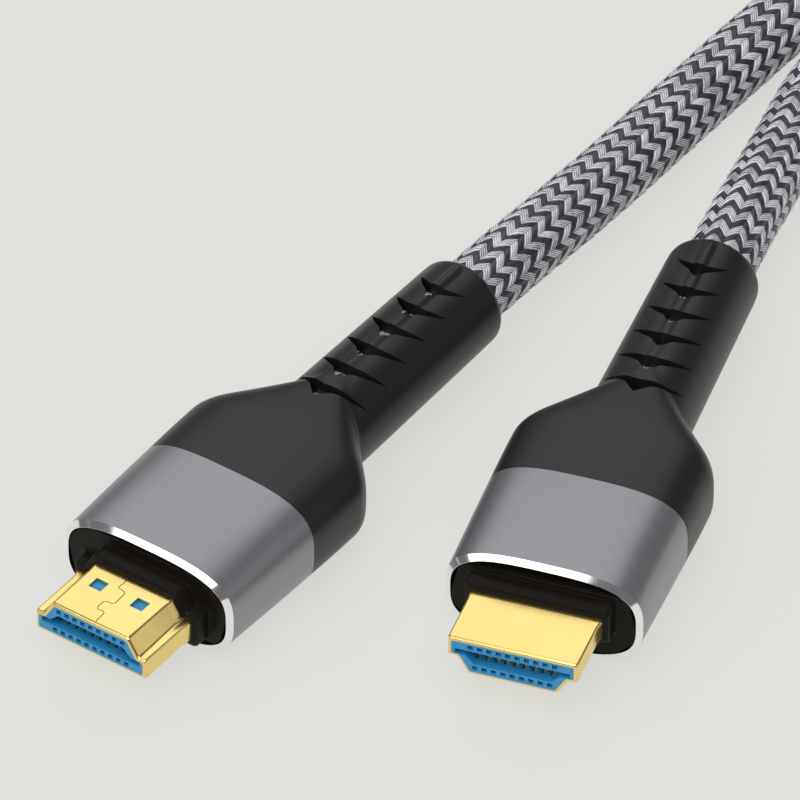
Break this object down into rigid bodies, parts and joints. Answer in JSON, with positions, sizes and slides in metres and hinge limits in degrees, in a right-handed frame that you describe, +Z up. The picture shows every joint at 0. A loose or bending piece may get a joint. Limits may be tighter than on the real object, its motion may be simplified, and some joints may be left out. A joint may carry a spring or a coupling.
{
  "type": "hdmi cable",
  "caption": "Braided video cable with a type A plug on each end: gold shell, aluminium sleeve, ribbed rubber boot; spare length in a tied coil.",
  "frame": {"origin": "On the floor, under the middle of the box around the two plugs", "axes": "+Z up from the floor, +Y from the plugs' open ends towards the coil, along the line that halves the angle between the plugs, +X to the right"},
  "size_m": [0.1196, 0.2873, 0.0178],
  "materials": {
    "gold_plating": "gold plated, polished",
    "contact_plating": "gold plated spring strip",
    "blue_plastic": "moulded, satin",
    "black_plastic": "moulded, glossy",
    "grey_aluminium": "satin anodised with a polished chamfer",
    "black_rubber": "moulded, satin",
    "braid": "woven nylon sleeve, light grey and black yarns",
    "hook_tape": "hook and loop tape"
  },
  "bodies": {
    "root": {"shell_a": "gold_plating", "insert_a": "blue_plastic", "contact_a_01": "contact_plating", "contact_a_02": "contact_plating", "contact_a_03": "contact_plating", "contact_a_04": "contact_plating", "contact_a_05": "contact_plating", "contact_a_06": "contact_plating", "contact_a_07": "contact_plating", "contact_a_08": "contact_plating", "contact_a_09": "contact_plating", "contact_a_10": "contact_plating", "contact_a_11": "contact_plating", "contact_a_12": "contact_plating", "contact_a_13": "contact_plating", "contact_a_14": "contact_plating", "contact_a_15": "contact_plating", "contact_a_16": "contact_plating", "contact_a_17": "contact_plating", "contact_a_18": "contact_plating", "contact_a_19": "contact_plating", "moulding_a": "black_plastic", "sleeve_a": "grey_aluminium", "boot_a": "black_rubber", "shell_b": "gold_plating", "insert_b": "blue_plastic", "contact_b_01": "contact_plating", "contact_b_02": "contact_plating", "contact_b_03": "contact_plating", "contact_b_04": "contact_plating", "contact_b_05": "contact_plating", "contact_b_06": "contact_plating", "contact_b_07": "contact_plating", "contact_b_08": "contact_plating", "contact_b_09": "contact_plating", "contact_b_10": "contact_plating", "contact_b_11": "contact_plating", "contact_b_12": "contact_plating", "contact_b_13": "contact_plating", "contact_b_14": "contact_plating", "contact_b_15": "contact_plating", "contact_b_16": "contact_plating", "contact_b_17": "contact_plating", "contact_b_18": "contact_plating", "contact_b_19": "contact_plating", "moulding_b": "black_plastic", "sleeve_b": "grey_aluminium", "boot_b": "black_rubber", "lead_a": "braid", "lead_b": "braid", "coil": "braid", "tie_left": "hook_tape", "tie_right": "hook_tape"}
  },
  "joints": []
}
